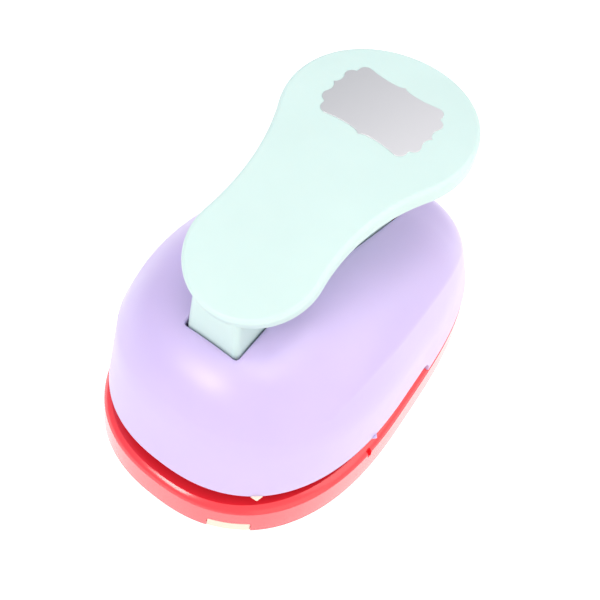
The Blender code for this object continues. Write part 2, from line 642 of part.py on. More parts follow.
def pointer(angle):
    """A small arrowhead that stands out of the housing's lower edge, at a polar angle of the body's oval."""
    before, place, after = (Vector(body_point(angle + step)) for step in (-0.01, 0.0, 0.01))
    facing = math.atan2(-(after - before).x, (after - before).y)
    plan = ((-1.2, -1.8), (1.9, 0.0), (-1.2, 1.8))
    mesh_data = bmesh.new()
    lower = [(x, y, FRONT_EDGE + 0.05) for x, y in plan]
    upper = [(min(x, 1.0), y, FRONT_EDGE + 1.6) for x, y in plan]
    loft(mesh_data, [lower, upper])
    bmesh.ops.rotate(mesh_data, verts=mesh_data.verts, matrix=Matrix.Rotation(facing, 3, "Z"))
    bmesh.ops.translate(mesh_data, verts=mesh_data.verts, vec=(place.x, place.y, 0.0))
    return mesh_data


def build_screws(steel):
    names = ("front_left", "front_right", "rear_left", "rear_right")
    for name, place in zip(names, HOUSING_SCREWS):
        screw(f"housing_screw_{name}", place, 2.6, (4.3, 6.2), 1.4, 22.0, steel)
    seat = GUIDE_TOP + GAP
    for name, side in (("left", -1), ("right", 1)):
        rear = (side * TOOL_SCREW_X, TOOL_SCREW_Y)
        front = (side * FRONT_SCREW_X, FRONT_SCREW_Y)
        screw(f"tool_screw_{name}", rear, 2.6, (seat + 1.8, seat), 1.25, 5.6, steel)
        screw(f"guide_screw_{name}", front, 2.2, (GUIDE_BOTTOM + 0.1, GUIDE_BOTTOM + 1.0), 1.25, 24.5, steel)
        seat_below = DECK_UNDER - GAP
        screw(f"die_screw_{name}", front, 2.6, (seat_below - 1.8, seat_below), 1.25, DIE_TOP - 0.3, steel)


def main():
    clear_scene()
    red = make_material("red_plastic", (0.75, 0.03, 0.05), 0.25)
    cream = make_material("cream_plastic", (0.86, 0.82, 0.75), 0.4)
    lavender = make_material("lavender_plastic", (0.62, 0.50, 0.92), 0.35)
    mint = make_material("mint_plastic", (0.62, 0.93, 0.86), 0.35)
    silver = make_material("silver_label", (0.68, 0.68, 0.70), 0.35, 0.4)
    steel = make_material("tool_steel", (0.56, 0.57, 0.58), 0.3, 1.0)
    spring_steel = make_material("spring_steel", (0.35, 0.35, 0.37), 0.35, 1.0)
    dark_plastic = make_material("carrier_plastic", (0.08, 0.08, 0.09), 0.5)
    build_base(red)
    build_chip_tray(cream)
    build_tool_plates(steel)
    build_posts_and_springs(steel, spring_steel)
    build_punch(steel, dark_plastic)
    build_pivot(steel)
    build_lever(mint, silver)
    build_housing(lavender)
    build_screws(steel)


main()
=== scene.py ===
"""Looks for the lever craft punch: moulded body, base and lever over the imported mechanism.

Lengths are in millimetres in the builder functions and become metres where a mesh is made.
"""

import math

import bmesh
import bpy
from mathutils import Matrix, Vector


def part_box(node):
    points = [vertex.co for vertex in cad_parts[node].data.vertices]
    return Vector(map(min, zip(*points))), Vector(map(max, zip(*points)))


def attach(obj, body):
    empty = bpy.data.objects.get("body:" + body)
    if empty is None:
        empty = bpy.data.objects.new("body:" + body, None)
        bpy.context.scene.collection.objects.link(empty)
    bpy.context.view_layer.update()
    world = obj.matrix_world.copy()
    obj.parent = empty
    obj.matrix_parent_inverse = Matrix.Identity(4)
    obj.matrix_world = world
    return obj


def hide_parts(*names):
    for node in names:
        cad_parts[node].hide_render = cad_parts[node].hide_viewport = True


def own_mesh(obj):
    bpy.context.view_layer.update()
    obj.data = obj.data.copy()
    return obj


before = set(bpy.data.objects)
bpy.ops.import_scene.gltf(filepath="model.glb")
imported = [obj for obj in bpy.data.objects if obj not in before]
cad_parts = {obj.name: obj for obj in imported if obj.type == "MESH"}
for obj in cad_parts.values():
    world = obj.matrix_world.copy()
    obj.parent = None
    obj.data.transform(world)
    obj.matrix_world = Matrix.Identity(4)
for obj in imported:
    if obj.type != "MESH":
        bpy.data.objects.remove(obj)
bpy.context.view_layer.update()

MM = 0.001
TAU = 2 * math.pi

# Body oval. A growth is a pair: how far the outline moves out sideways and lengthways.
HALF_LENGTH, HALF_WIDTH = 57.0, 35.54
FRONT_POWER, REAR_POWER = 2.32, 3.45
TAPER = 0.17
OVAL_STEPS = 320
NO_GROWTH = (0.0, 0.0)

# Housing
WALL = 2.2
RIM_FRONT, RIM_REAR, RIM_ROUNDING = 15.15, 8.9, 0.38
THROAT_END, THROAT_CORNER = 15.4, 6.1
SIDE_INSET, FRONT_INSET, REAR_INSET = 0.97, 3.07, 5.34
LEAN_LIMIT = -0.34
CREASE, DOME_RISE, DOME_POWER, DOME_SLOPE = 30.27, 15.21, 9.47, -0.09
FRONT_SOFTENING, SOFTENING_SPAN = 1.6, (8.0, 42.0)
SWELL, SWELL_CENTRE, SWELL_WIDTH = 6.4, -16.9, 28.1

# Crisp line along the dome's sides: its share of the way out, and where it fades away
RIDGE_POWER, RIDGE_BULGE = 4.6, 0.12
RIDGE, RIDGE_LIMIT = 0.911, 0.965
RIDGE_FRONT, RIDGE_FRONT_CURVE = -10.0, 0.000115
RIDGE_REAR, RIDGE_REAR_CURVE = 8.0, 0.000045
FADE_FRONT, FADE_REAR = (24.0, 44.0), (34.0, 50.0)

# Slot for the lever, and the bearings beside it
SLOT_HALF_WIDTH, SLOT_FRONT, SLOT_REAR = 8.05, -40.1, 29.0
SLOT_CORNER, SLOT_FILLET = 0.8, 0.45
SPINE_SHARE, SPINE_SHIFT = 0.45, -3.0
CHEEK_RADIUS, CHEEK_GAP, CHEEK_THICKNESS = 5.6, 0.05, 3.5
PIN_BORE = 2.8

# Base: growths of its outline from the foot up to the lip, then heights, and what is cut into it
FOOT, WALL_MIDDLE, LIP_OUTER, LIP_INNER = (0.9, 1.8), (0.7, 1.8), (0.5, 1.8), (-1.5, 0.3)
WALL_MIDDLE_Z, LIP_BOTTOM, LIP_CROWN = 4.2, 8.2, 0.16
DECK_TOP, DECK_UNDER = 10.0, 6.8
BASE_WALL = 2.4
NOTCH_LEFT, NOTCH_RIGHT, NOTCH_TOP, NOTCH_CORNER = 15.3, 24.9, 3.8, 1.0
LIP_MARK_Y, LIP_MARK_HALF_WIDTH, LIP_MARK_DEPTH = -16.3, 0.75, 3.2
HOUSING_SCREWS = ((-24.0, 24.0), (24.0, 24.0), (-15.0, 42.0), (15.0, 42.0))
TOOL_SCREW, DIE_SCREW = (22.0, 10.6), (17.0, -40.6)
SCREW_BORE, SCREW_HEAD_BORE = 1.55, 3.0
CHUTE_HALF_WIDTH, CHUTE_HALF_HEIGHT, CHUTE_CENTRE = 26.0, 18.6, -15.5

# Waste tray
TRAY_INSET, TRAY_WALL = 2.8, 1.4
TRAY_BOTTOM, TRAY_TOP, TRAY_FLOOR = 0.5, 2.9, 1.8

# Steel tool plates
PLATE_HALF_WIDTH, PLATE_FRONT, PLATE_REAR = 31.0, -46.5, 14.5
PLATE_OVAL, PLATE_POWER, PLATE_TAPER = (51.6, 30.1), 2.35, 0.16

# Lever
PADDLE_TOP, PADDLE_TILT, PADDLE_BEND = 75.24, math.radians(10.87), 1 / 189.0
THIN, THICK, THICKENING = 3.7, 5.0, 22.0
LARGE_CENTRE, LARGE_RADIUS = 20.8, 24.8
SMALL_CENTRE, SMALL_RADIUS = -26.9, 17.1
NECK_RADIUS = 57.0
STEM_HALF_WIDTH, STEM_TOP_HALF_WIDTH, STEM_FRONT, STEM_REAR = 7.75, 6.6, -39.75, 25.4
STEM_CORNER, STEM_WALL = 1.6, 1.2
PIVOT_Y, PIVOT_Z = -34.4, 37.5
NOSE_Y, NOSE_Z, NOSE_RADIUS = -15.0, 31.5, 3.0
LABEL_CENTRE, LABEL_SIDE, LABEL_HALF_WIDTH, LABEL_HALF_HEIGHT = 23.1, -0.8, 14.7, 10.0


# ---------------------------------------------------------------- meshes


def new_object(name, bm, material=None, sharp=32.0):
    """A scene object of a bmesh in millimetres."""
    bmesh.ops.scale(bm, verts=bm.verts, vec=(MM, MM, MM))
    bmesh.ops.recalc_face_normals(bm, faces=bm.faces)
    mesh = bpy.data.meshes.new(name)
    bm.to_mesh(mesh)
    bm.free()
    mesh.shade_smooth()
    mesh.set_sharp_from_angle(angle=math.radians(sharp))
    obj = bpy.data.objects.new(name, mesh)
    bpy.context.scene.collection.objects.link(obj)
    if material:
        mesh.materials.append(material)
    return obj


def loft(bm, rings, closed=False):
    """Skins rings of equally many points. Closed joins the last ring to the first; otherwise both get caps."""
    loops = [[bm.verts.new(p) for p in ring] for ring in rings]
    pairs = list(zip(loops, loops[1:]))
    if closed:
        pairs.append((loops[-1], loops[0]))
    for lower, upper in pairs:
        count = len(lower)
        for i in range(count):
            j = (i + 1) % count
            bm.faces.new((lower[i], lower[j], upper[j], upper[i]))
    if not closed:
        bm.faces.new(loops[0])
        bm.faces.new(loops[-1])
    return loops


def solid(rings):
    bm = bmesh.new()
    loft(bm, rings)
    return bm


def prism(outline, bottom, top):
    return solid([[(x, y, z) for x, y in outline] for z in (bottom, top)])


def side_prism(profile, left, right):
    return solid([[(x, y, z) for y, z in profile] for x in (left, right)])


def box(low, high):
    plan = ((low[0], low[1]), (high[0], low[1]), (high[0], high[1]), (low[0], high[1]))
    return prism(plan, low[2], high[2])


def turned(profile, centre, segments=48, axis="Z"):
    """A solid of revolution from (radius, height) pairs."""
    rings = []
    for radius, along in profile:
        angles = [TAU * k / segments for k in range(segments)]
        rings.append([(radius * math.cos(a), radius * math.sin(a), along) for a in angles])
    bm = solid(rings)
    if axis == "X":
        bmesh.ops.rotate(bm, verts=bm.verts, matrix=Matrix.Rotation(math.pi / 2, 3, "Y"))
    bmesh.ops.translate(bm, verts=bm.verts, vec=centre)
    return bm


def combined(*parts):
    whole = bmesh.new()
    for part in parts:
        mesh = bpy.data.meshes.new("part")
        part.to_mesh(mesh)
        part.free()
        whole.from_mesh(mesh)
        bpy.data.meshes.remove(mesh)
    return whole


def evaluate(obj):
    """Applies an object's modifiers."""
    graph = bpy.context.evaluated_depsgraph_get()
    mesh = bpy.data.meshes.new_from_object(obj.evaluated_get(graph))
    old = obj.data
    obj.modifiers.clear()
    obj.data = mesh
    bpy.data.meshes.remove(old)


def settle(obj, sharp=32.0):
    evaluate(obj)
    obj.data.shade_smooth()
    obj.data.set_sharp_from_angle(angle=math.radians(sharp))


def apply_boolean(target, tool, operation, sharp=32.0):
    """Runs a Boolean with another object, which is used up."""
    modifier = target.modifiers.new("boolean", "BOOLEAN")
    modifier.operation = operation
    modifier.solver = "EXACT"
    modifier.object = tool
    settle(target, sharp)
    bpy.data.objects.remove(tool, do_unlink=True)


def boolean(target, tool_mesh, operation):
    apply_boolean(target, new_object("tool", tool_mesh), operation)


def without_slivers(obj, sharp=32.0):
    """Removes the zero-size faces that a Boolean can leave, and splits large flat faces into triangles."""
    tiny = 0.002 * MM
    bm = bmesh.new()
    bm.from_mesh(obj.data)
    bmesh.ops.dissolve_degenerate(bm, dist=tiny, edges=bm.edges)
    bmesh.ops.triangulate(bm, faces=[f for f in bm.faces if len(f.verts) > 4], ngon_method="BEAUTY")
    bmesh.ops.dissolve_degenerate(bm, dist=tiny, edges=bm.edges)
    bm.to_mesh(obj.data)
    bm.free()
    obj.data.set_sharp_from_angle(angle=math.radians(sharp))


def level_normals(obj):
    """Keeps large flat faces flat next to rounded corners."""
    modifier = obj.modifiers.new("normals", "WEIGHTED_NORMAL")
    modifier.keep_sharp = True
    modifier.weight = 100
    evaluate(obj)


def arc(centre, radius, start, end, steps):
    points = []
    for k in range(steps + 1):
        turn = math.radians(start + (end - start) * k / steps)
        points.append((centre[0] + radius * math.cos(turn), centre[1] + radius * math.sin(turn)))
    return points


# ---------------------------------------------------------------- body oval


def oval_point(angle, grow=NO_GROWTH, lean=0.0):
    """A point on the body's outline. Lean 0 is at the foot of the walls and 1 at their top."""
    across, along = math.cos(angle), math.sin(angle)
    power = FRONT_POWER if along < 0 else REAR_POWER
    half_length = HALF_LENGTH + grow[1] - lean * (FRONT_INSET if along < 0 else REAR_INSET)
    half_width = HALF_WIDTH + grow[0] - lean * SIDE_INSET
    reach = (abs(across / half_width) ** power + abs(along / half_length) ** power) ** (-1 / power)
    y = reach * along
    x = reach * across * (1 - TAPER * y / half_length)
    return Vector((x, y))


def crease_height(y):
    return CREASE + DOME_SLOPE * y


def smooth(value, start, end):
    """0 before start, 1 after end, with an easy change between."""
    t = min(max((value - start) / (end - start), 0.0), 1.0)
    return t * t * (3 - 2 * t)


def dome_share(x, y, skin=0.0):
    """0 at the dome's middle and 1 at the top of the walls."""
    power = FRONT_POWER if y < 0 else REAR_POWER
    half_length = HALF_LENGTH - (FRONT_INSET if y < 0 else REAR_INSET) - skin
    half_width = (HALF_WIDTH - SIDE_INSET - skin) * (1 - TAPER * y / half_length)
    return min((abs(x / half_width) ** power + abs(y / half_length) ** power) ** (1 / power), 1.0)


def ridge_share(y):
    """Where the crisp line between side and top runs."""
    if y < RIDGE_FRONT:
        return min(RIDGE + RIDGE_FRONT_CURVE * (y - RIDGE_FRONT) ** 2, RIDGE_LIMIT)
    return min(RIDGE + RIDGE_REAR_CURVE * max(y - RIDGE_REAR, 0.0) ** 2, RIDGE_LIMIT)


def dome_height(x, y, skin=0.0):
    """The housing's top: crisp sides, soft front and rear shoulders, and a swell round the slot."""
    share = dome_share(x, y, skin)
    shoulder = DOME_POWER - FRONT_SOFTENING * smooth(-y, *SOFTENING_SPAN)
    soft = 1 - share**shoulder
    ridge = ridge_share(y)
    at_ridge = 1 - ridge**DOME_POWER
    if share > ridge:
        climb = (1 - share) / (1 - ridge)
        crisp = at_ridge * climb * (1 + RIDGE_BULGE * (1 - climb))
    else:
        crisp = 1 - (1 - at_ridge) * (share / ridge) ** RIDGE_POWER
    crispness = (1 - smooth(-y, *FADE_FRONT)) * (1 - smooth(y, *FADE_REAR))
    along = math.exp(-(((y - SWELL_CENTRE) / SWELL_WIDTH) ** 2))
    swell = SWELL * along * (1 - share * share)
    rise = DOME_RISE * (crispness * crisp + (1 - crispness) * soft)
    return CREASE + rise + swell + DOME_SLOPE * y - skin


def rim_height(y):
    """Lower edge of the housing: high over the paper slot, low behind it."""
    start = THROAT_END - THROAT_CORNER
    if y <= start:
        return RIM_FRONT
    if y < THROAT_END:
        return RIM_FRONT - THROAT_CORNER + math.sqrt(THROAT_CORNER**2 - (y - start) ** 2)
    return RIM_REAR


def oval_angles():
    """Polar angles round the body, with extra ones where the paper slot ends."""
    angles = [TAU * k / OVAL_STEPS for k in range(OVAL_STEPS)]
    corner_start = THROAT_END - THROAT_CORNER
    wanted = [corner_start + THROAT_CORNER * math.sin(math.radians(a)) for a in range(0, 91, 9)]
    wanted.append(THROAT_END + 0.01)
    for y in wanted:
        low, high = 0.0, math.pi / 2
        for _ in range(40):
            middle = (low + high) / 2
            if oval_point(middle).y < y:
                low = middle
            else:
                high = middle
        angles += [low, math.pi - low]
    return sorted(angles)


ANGLES = oval_angles()


def matched_slot(grow):
    """Slot points that pair up with the body's angles: each is where a line to the spine meets the edge."""
    half_width, front, rear = SLOT_HALF_WIDTH + grow, SLOT_FRONT - grow, SLOT_REAR + grow
    corner = SLOT_CORNER + max(grow, 0.0)
    points = []
    for angle in ANGLES:
        p = oval_point(angle, NO_GROWTH, 1.0)
        spine = min(max(p.y * SPINE_SHARE + SPINE_SHIFT, front + half_width), rear - half_width)
        direction = (p - Vector((0.0, spine))).normalized()
        reach = 1e9
        if abs(direction.x) > 1e-9:
            reach = min(reach, half_width / abs(direction.x))
        if direction.y > 1e-9:
            reach = min(reach, (rear - spine) / direction.y)
        if direction.y < -1e-9:
            reach = min(reach, (front - spine) / direction.y)
        hit = Vector((0.0, spine)) + direction * reach
        # Round the slot's corners
        cx = math.copysign(half_width - corner, hit.x)
        cy = rear - corner if hit.y > (front + rear) / 2 else front + corner
        beyond_x = abs(hit.x) > half_width - corner
        beyond_y = hit.y > rear - corner or hit.y < front + corner
        if beyond_x and beyond_y:
            out = hit - Vector((cx, cy))
            hit = Vector((cx, cy)) + out.normalized() * corner
        points.append(hit)
    return points


def ridge_along(outer, inner):
    """How far along the line from the slot to the walls the crisp line lies."""
    low, high = 0.3, 1.0
    for _ in range(30):
        middle = (low + high) / 2
        point = inner.lerp(outer, middle)
        if dome_share(point.x, point.y) < ridge_share(point.y):
            low = middle
        else:
            high = middle
    return low


def build_housing(material):
    """The dome as one closed skin: outer wall, top, slot, underside and inner wall."""
    rings = []

    def wall_ring(share, grow, drop=0.0):
        ring = []
        for angle in ANGLES:
            rim_y = oval_point(angle).y
            low = rim_height(rim_y)
            high = crease_height(rim_y)
            z = low + drop + (high - low - drop) * share
            lean = max((z - RIM_FRONT) / (high - RIM_FRONT), LEAN_LIMIT)
            p = oval_point(angle, grow, lean)
            if share >= 1.0:
                z = crease_height(p.y)
            ring.append((p.x, p.y, z))
        return ring

    rings.append(wall_ring(0.0, (-0.40, -0.40)))
    rings.append(wall_ring(0.0, (-0.12, -0.12), 0.10))
    for share in (0.0, 0.1, 0.3, 0.5, 0.72):
        rings.append(wall_ring(share, NO_GROWTH, RIM_ROUNDING))

    edge = [oval_point(a, NO_GROWTH, 1.0) for a in ANGLES]
    slot = matched_slot(SLOT_FILLET)
    ridges = [ridge_along(p, q) for p, q in zip(edge, slot)]
    steps = [(False, k) for k in (0.0, 0.35, 0.7, 0.94)] + [(True, k / 22) for k in range(23)]
    for inner_part, step in steps:
        ring = []
        for p, q, ridge in zip(edge, slot, ridges):
            share = ridge * (1 - step**1.25) if inner_part else 1 - (1 - ridge) * step
            point = q.lerp(p, share)
            ring.append((point.x, point.y, dome_height(point.x, point.y)))
        rings.append(ring)
    for degrees in (30, 60, 90):
        turn = math.radians(degrees)
        inner = matched_slot(SLOT_FILLET * (1 - math.sin(turn)))
        ring = []
        for p, q in zip(inner, slot):
            ring.append((p.x, p.y, dome_height(q.x, q.y) - SLOT_FILLET * (1 - math.cos(turn))))
        rings.append(ring)
    under = matched_slot(0.0)
    rings.append([(p.x, p.y, dome_height(p.x, p.y, WALL)) for p in under])
    edge_in = [oval_point(a, (-WALL, -WALL), 1.0) for a in ANGLES]
    for share in (0.2, 0.45, 0.65, 0.78, 0.86, 0.92, 0.96, 0.985, 1.0):
        ring = []
        for p, q in zip(edge_in, under):
            point = q.lerp(p, share)
            ring.append((point.x, point.y, dome_height(point.x, point.y, WALL)))
        rings.append(ring)
    for share in (0.7, 0.4, 0.1, 0.0):
        rings.append(wall_ring(share, (-WALL + 0.02, -WALL + 0.02)))
    bm = bmesh.new()
    loft(bm, rings, closed=True)
    return new_object("housing_shell", bm, material, sharp=40.0)


def build_pointer(name, angle, reach, half_width, material):
    """Small arrowhead that marks the tool's centre lines on the housing's lower edge."""
    before, place, after = (oval_point(angle + step) for step in (-0.01, 0.0, 0.01))
    facing = math.atan2(-(after - before).x, (after - before).y)
    back, tip = -1.5, 0.12
    left = ((back, -half_width), (0.0, -half_width), (reach, -tip))
    plan = left + tuple((x, -y) for x, y in reversed(left))
    rings = []
    for grow, z in ((-0.1, -0.12), (0.0, -0.04), (0.0, 0.3), (-0.1, 0.4)):
        rings.append([(x + (grow if x > 0 else 0.0), y * (1 + grow * 0.5), RIM_FRONT + z) for x, y in plan])
    bm = solid(rings)
    bmesh.ops.rotate(bm, verts=bm.verts, matrix=Matrix.Rotation(facing, 3, "Z"))
    bmesh.ops.translate(bm, verts=bm.verts, vec=(place.x, place.y, 0.0))
    return new_object(name, bm, material, sharp=50.0)


def pin_bore():
    return turned(((PIN_BORE, -20.0), (PIN_BORE, 20.0)), (0.0, PIVOT_Y, PIVOT_Z), 48, "X")


def build_cheek(name, side, material):
    """The housing's bearing for the pivot pin."""
    inner, outer = SLOT_HALF_WIDTH + CHEEK_GAP, SLOT_HALF_WIDTH + CHEEK_THICKNESS
    front, rear, into_roof = PIVOT_Y - CHEEK_RADIUS, PIVOT_Y + CHEEK_RADIUS, 0.6
    profile = arc((PIVOT_Y, PIVOT_Z), CHEEK_RADIUS, 180, 360, 24)
    profile += [(y, dome_height(outer, y, WALL) + into_roof) for y in (rear, front)]
    low, high = sorted((side * inner, side * outer))
    cheek = new_object(name, side_prism(profile, low, high), material, sharp=40.0)
    boolean(cheek, pin_bore(), "DIFFERENCE")
    return cheek


# ---------------------------------------------------------------- base and tray


def oval_ring(grow, z):
    return [(*oval_point(a, grow), z) for a in ANGLES]


def moved_in(pair, distance):
    return pair[0] - distance, pair[1] - distance


def build_base(material):
    """The moulded tray: walls, rounded lip, deck with its openings, and bosses for the screws."""
    rings = [oval_ring(moved_in(FOOT, 0.35), 0.0), oval_ring(moved_in(FOOT, 0.1), 0.12), oval_ring(FOOT, 0.4)]
    rings.append(oval_ring(WALL_MIDDLE, WALL_MIDDLE_Z))
    rings.append(oval_ring((LIP_OUTER[0] + 0.02, LIP_OUTER[1]), LIP_BOTTOM - 0.15))
    for share in (0.0, 0.08, 0.2, 0.35, 0.5, 0.65, 0.8, 0.92, 1.0):
        crown = LIP_CROWN * math.sin(math.pi * share)
        grow = [a + (b - a) * share + crown for a, b in zip(LIP_OUTER, LIP_INNER)]
        rings.append(oval_ring(grow, LIP_BOTTOM + (DECK_TOP - LIP_BOTTOM) * share + crown * 0.8))
    rings.append(oval_ring(moved_in(LIP_INNER, 0.25), DECK_TOP))
    base = new_object("base_tray", solid(rings), material, sharp=24.0)

    inner = moved_in(FOOT, BASE_WALL)
    boolean(base, solid([oval_ring(inner, z) for z in (-2.0, DECK_UNDER)]), "DIFFERENCE")
    boss_top = DECK_UNDER + 1.0
    bosses = [turned(((4.2, 3.3), (4.2, boss_top)), (*p, 0.0), 40) for p in HOUSING_SCREWS]
    tool_screws = [(side * TOOL_SCREW[0], TOOL_SCREW[1], 0.0) for side in (-1, 1)]
    die_screws = [(side * DIE_SCREW[0], DIE_SCREW[1], 0.0) for side in (-1, 1)]
    bosses += [turned(((3.2, 3.8), (3.2, boss_top)), p, 40) for p in tool_screws]
    boolean(base, combined(*bosses), "UNION")
    head, seat, above = SCREW_HEAD_BORE, 6.5, 11.0
    bore = ((head, 2.0), (head, seat), (1.7, seat), (1.7, above))
    cuts = [turned(bore, (*p, 0.0), 40) for p in HOUSING_SCREWS]
    die_low, die_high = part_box("die_plate")
    cuts.append(prism(plate_outline(0.3), (die_low / MM).z - 0.3, (die_high / MM).z + 2.0))
    boolean(base, combined(*cuts), "DIFFERENCE")
    chute = plaque_outline(CHUTE_HALF_WIDTH, CHUTE_HALF_HEIGHT, CHUTE_CENTRE)
    more = [prism(chute, DECK_UNDER - 1.0, DECK_TOP)]
    more += [turned(((SCREW_BORE, 4.8), (SCREW_BORE, above)), p, 24) for p in tool_screws]
    more += [turned(((SCREW_BORE, 5.8), (SCREW_BORE, above)), p, 24) for p in die_screws]
    boolean(base, combined(*more), "DIFFERENCE")
    boolean(base, combined(notch_cut(), *(lip_mark(side) for side in (-1, 1))), "DIFFERENCE")
    cut_rear_ledge(base)
    without_slivers(base, 24.0)
    level_normals(base)
    return base


def notch_cut():
    """The thumb notch at the front, where the waste tray's edge shows."""
    centre_z = NOTCH_TOP - NOTCH_CORNER
    profile = [(NOTCH_LEFT, -1.0), (NOTCH_RIGHT, -1.0)]
    profile += arc((NOTCH_RIGHT - NOTCH_CORNER, centre_z), NOTCH_CORNER, 0, 90, 6)
    profile += arc((NOTCH_LEFT + NOTCH_CORNER, centre_z), NOTCH_CORNER, 90, 180, 6)
    return solid([[(x, y, z) for x, z in profile] for y in (-70.0, -44.0)])


def lip_mark(side):
    """The short groove across the lip beside the tool's middle."""
    x = side * (HALF_WIDTH + 0.4)
    near, far = sorted((x, x + side * 4.0))
    low = (near, LIP_MARK_Y - LIP_MARK_HALF_WIDTH, DECK_TOP - LIP_MARK_DEPTH)
    return box(low, (far, LIP_MARK_Y + LIP_MARK_HALF_WIDTH, DECK_TOP + 1.0))


def cut_rear_ledge(base):
    """The step behind the paper slot that the housing's skirt comes down into."""
    outer, seat = oval_ring((5.0, 5.0), 0.0), oval_ring((-WALL - 0.3, -WALL - 0.3), 0.0)
    ledge = new_object("ledge", prism([(x, y) for x, y, _ in outer], RIM_REAR - 0.2, 20.0))
    boolean(ledge, prism([(x, y) for x, y, _ in seat], 0.0, 30.0), "DIFFERENCE")
    boolean(ledge, box((-80.0, THROAT_END - 0.15, 0.0), (80.0, 80.0, 30.0)), "INTERSECT")
    apply_boolean(base, ledge, "DIFFERENCE", 24.0)


def plate_outline(grow=0.0):
    """The tool plates' outline, as in the frame."""
    half_length, half_width = PLATE_OVAL[0] + grow, PLATE_OVAL[1] + grow
    widest, front, rear = PLATE_HALF_WIDTH + grow, PLATE_FRONT - grow, PLATE_REAR + grow
    curve_start = -14.0
    left = []
    for k in range(10):
        y = curve_start + (front - curve_start) * k / 9
        reach = (1 - abs(y / half_length) ** PLATE_POWER) ** (1 / PLATE_POWER)
        left.append((-min(widest, half_width * reach * (1 - PLATE_TAPER * y / half_length)), y))
    return [(widest, rear), (-widest, rear)] + left + [(-x, y) for x, y in reversed(left)]


def build_tray(material):
    """The shallow waste tray under the base, with the tab that fills the notch."""
    rim = moved_in(FOOT, TRAY_INSET)
    tray = new_object("waste_tray", solid([oval_ring(rim, z) for z in (TRAY_BOTTOM, TRAY_TOP)]), material)
    gap = 0.25
    tab = new_object("tab", solid([oval_ring(moved_in(FOOT, 0.1), z) for z in (TRAY_BOTTOM, NOTCH_TOP - gap)]))
    near, far = (NOTCH_LEFT + gap, -70.0, 0.0), (NOTCH_RIGHT - gap, -46.5, NOTCH_TOP + 1.0)
    boolean(tab, box(near, far), "INTERSECT")
    apply_boolean(tray, tab, "UNION")
    inner = moved_in(rim, TRAY_WALL)
    boolean(tray, solid([oval_ring(inner, z) for z in (TRAY_FLOOR, 6.0)]), "DIFFERENCE")
    without_slivers(tray)
    return tray


# ---------------------------------------------------------------- lever


def plaque_outline(half_width, half_height, centre_y=0.0, centre_x=0.0):
    """A bracket label: a cusp in the middle of each side and two round lobes at each corner."""
    w, h = half_width, half_height
    quarter = [(w, 0.0), (0.972 * w, 0.035 * h), (0.945 * w, 0.09 * h), (0.93 * w, 0.16 * h)]
    quarter.append((0.925 * w, 0.23 * h))
    quarter += arc((0.833 * w, 0.46 * h), 0.205 * h, -40, 82, 9)
    quarter += arc((0.707 * w, 0.77 * h), 0.205 * h, -12, 108, 9)
    quarter += [(0.56 * w, 0.935 * h), (0.42 * w, 0.912 * h), (0.28 * w, 0.905 * h), (0.16 * w, 0.912 * h)]
    quarter += [(0.085 * w, 0.93 * h), (0.035 * w, 0.96 * h)]
    points = list(quarter)
    points.append((0.0, h))
    points += [(-x, y) for x, y in reversed(quarter)]
    points += [(-x, -y) for x, y in quarter[1:]]
    points.append((0.0, -h))
    points += [(x, -y) for x, y in reversed(quarter[1:])]
    return [(x + centre_x, y + centre_y) for x, y in points]


def thickness(along):
    """The paddle gets thicker from its small end to its large one."""
    share = (along + THICKENING) / (2 * THICKENING)
    return THIN + (THICK - THIN) * min(max(share, 0.0), 1.0)


def on_paddle(along, above=0.0):
    """Where a point of the flat paddle goes when it is tilted and bent: its y and z."""
    slope = PADDLE_TILT - PADDLE_BEND * along
    y = (math.sin(PADDLE_TILT) - math.sin(slope)) / PADDLE_BEND
    z = PADDLE_TOP + (math.cos(slope) - math.cos(PADDLE_TILT)) / PADDLE_BEND
    return y - above * math.sin(slope), z + above * math.cos(slope)


def paddle_outline(grow=0.0):
    """Two round ends joined by a hollow neck."""
    large, small, neck = LARGE_RADIUS + grow, SMALL_RADIUS + grow, NECK_RADIUS - grow
    span = LARGE_CENTRE - SMALL_CENTRE
    along = ((small + neck) ** 2 - (large + neck) ** 2 + span**2) / (2 * span)
    across = math.sqrt((small + neck) ** 2 - along**2)
    neck_centre = (across, SMALL_CENTRE + along)
    to_small = math.degrees(math.atan2(along, across))
    to_large = math.degrees(math.atan2(span - along, across))
    right = arc((0.0, SMALL_CENTRE), small, -90, to_small, 60)
    right += arc(neck_centre, neck, 180 + to_small, 180 - to_large, 50)[1:-1]
    right += arc((0.0, LARGE_CENTRE), large, -to_large, 90, 80)
    left = [(-x, y) for x, y in reversed(right[1:-1])]
    return right + left


def bend(bm):
    for vertex in bm.verts:
        x, along, above = vertex.co
        vertex.co = (x, *on_paddle(along, above))


def slice_along(bm, step):
    lowest = min(v.co.y for v in bm.verts)
    highest = max(v.co.y for v in bm.verts)
    for k in range(1, int((highest - lowest) / step)):
        geometry = bm.verts[:] + bm.edges[:] + bm.faces[:]
        place = (0.0, lowest + k * step, 0.0)
        bmesh.ops.bisect_plane(bm, geom=geometry, dist=0.001, plane_co=place, plane_no=(0, 1, 0))


def build_paddle(material):
    """The thumb plate: a rounded upper edge, a flat side band and a small lower edge."""
    top_radius, low_radius = 1.25, 0.35
    rings = []
    for degrees in (0, 30, 60, 90):
        turn = math.radians(degrees)
        outline = paddle_outline(-low_radius * (1 - math.sin(turn)))
        lift = low_radius * (1 - math.cos(turn))
        rings.append([(x, y, lift - thickness(y)) for x, y in outline])
    for degrees in range(0, 91, 10):
        turn = math.radians(degrees)
        outline = paddle_outline(-top_radius * (1 - math.cos(turn)))
        rings.append([(x, y, -top_radius * (1 - math.sin(turn))) for x, y in outline])
    bm = bmesh.new()
    loft(bm, rings)
    slice_along(bm, 2.0)
    bend(bm)
    return new_object("lever_moulding", bm, material, sharp=50.0)


